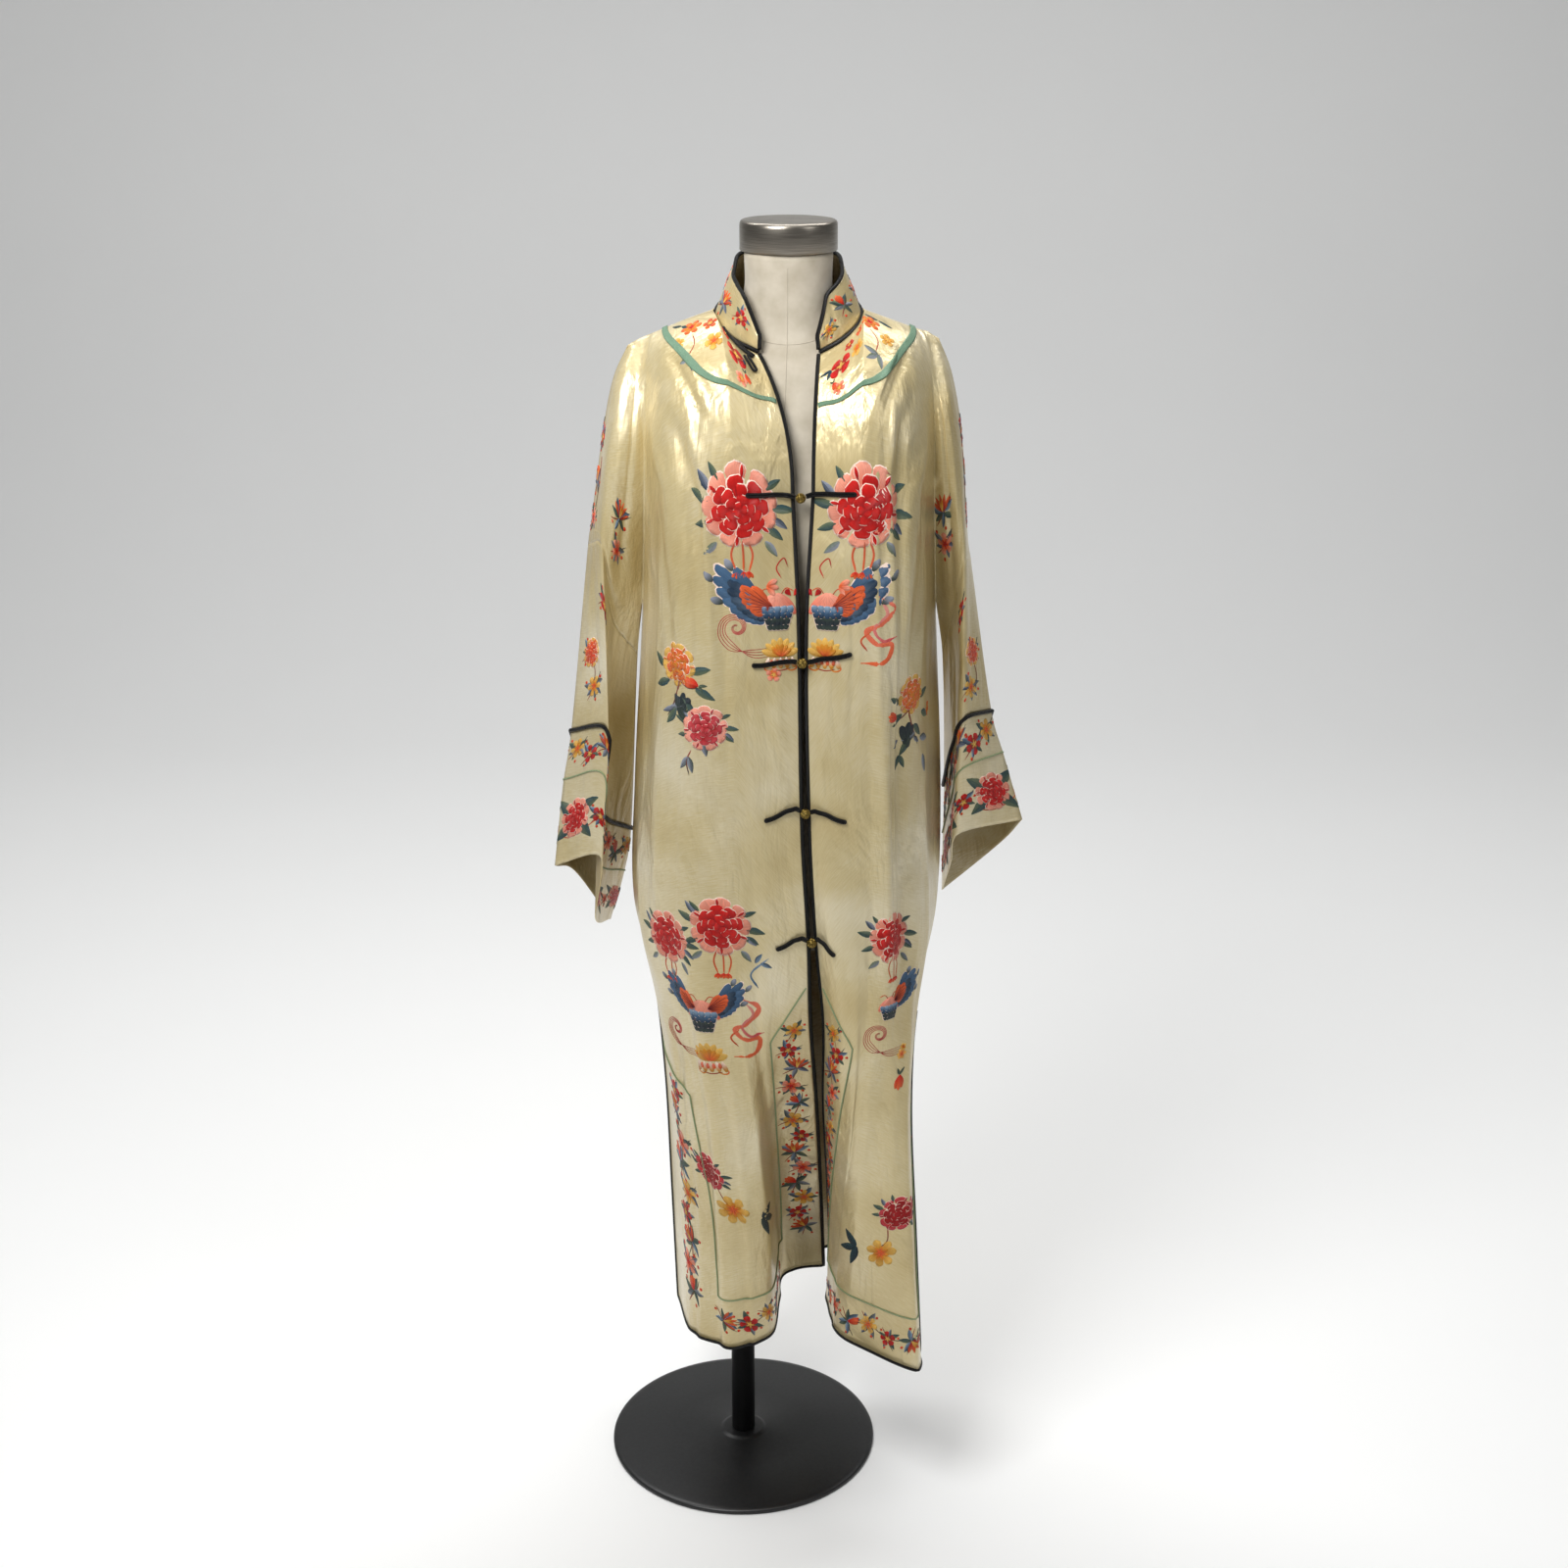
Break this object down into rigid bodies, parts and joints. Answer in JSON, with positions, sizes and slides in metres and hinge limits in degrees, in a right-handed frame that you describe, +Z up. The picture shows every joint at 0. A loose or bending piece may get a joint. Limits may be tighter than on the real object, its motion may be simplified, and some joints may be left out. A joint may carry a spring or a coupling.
{
  "type": "embroidered silk robe on a dress form",
  "caption": "Long champagne silk-satin robe with a stand collar, black piping, knotted frogs and brass ball buttons, hanging open at the neck on a limbless dress form with a steel cap and a round foot.",
  "frame": {"origin": "The centre of the foot's underside, on the floor, on the pole's axis.", "axes": "+Z up the pole. The robe's front edges face -Y and its back faces +Y. +X is to the right of someone who looks at its front."},
  "size_m": [0.5589, 0.34, 1.56],
  "materials": {
    "silk": "champagne silk satin with raised silk embroidery",
    "black_silk": "black silk piping and frog cord",
    "green_ribbon": "sage green flat woven ribbon",
    "brass": "aged filigree ball buttons",
    "linen": "plain undyed linen over the form",
    "steel": "brushed neck cap",
    "black_steel": "satin black pole and foot"
  },
  "bodies": {
    "root": {"front_left": "silk", "front_right": "silk", "back": "silk", "sleeve_left": "silk", "sleeve_right": "silk", "cuff_left": "silk", "cuff_right": "silk", "piping_front_left": "black_silk", "piping_front_right": "black_silk", "piping_back": "black_silk", "collar": "silk", "piping_neckline": "black_silk", "piping_collar": "black_silk", "piping_cuff_left": "black_silk", "piping_cuff_right": "black_silk", "yoke_ribbon": "green_ribbon", "button_1": "brass", "frog_1_left": "black_silk", "frog_1_right": "black_silk", "button_2": "brass", "frog_2_left": "black_silk", "frog_2_right": "black_silk", "button_3": "brass", "frog_3_left": "black_silk", "frog_3_right": "black_silk", "button_4": "brass", "frog_4_left": "black_silk", "frog_4_right": "black_silk", "frog_neck_bar": "black_silk", "frog_neck_loop": "black_silk", "form_torso": "linen", "form_cap": "steel", "form_pole": "black_steel", "form_foot": "black_steel"}
  },
  "joints": []
}
